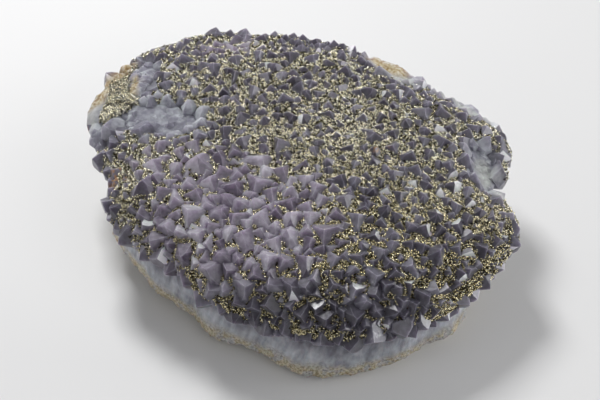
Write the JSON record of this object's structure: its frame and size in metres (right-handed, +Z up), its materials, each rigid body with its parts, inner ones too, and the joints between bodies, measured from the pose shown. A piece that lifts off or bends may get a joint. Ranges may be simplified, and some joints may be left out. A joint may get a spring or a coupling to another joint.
{
  "type": "quartz with pyrite crystal plate",
  "caption": "Oval mineral specimen: a thick plate of grey-violet quartz points with pyrite crust in the grooves, on a broken columnar side and a flat foot.",
  "frame": {"origin": "middle of the flat foot that the plate rests on", "axes": "+Z up out of the crystal-covered top, +X along the plate's long side, -Y towards its low steep edge with the broken side"},
  "size_m": [0.1781, 0.1541, 0.0593],
  "materials": {
    "quartz": "glossy crystal faces, milky and grey-violet, rough where broken",
    "pyrite": "fine sparkling metallic grains"
  },
  "bodies": {
    "root": {"quartz": "quartz", "pyrite_field_left": "pyrite", "pyrite_crust_back": "pyrite", "pyrite_crust_centre": "pyrite", "pyrite_crust_right": "pyrite", "pyrite_crust_front": "pyrite", "pyrite_crust_corner": "pyrite"}
  },
  "joints": []
}
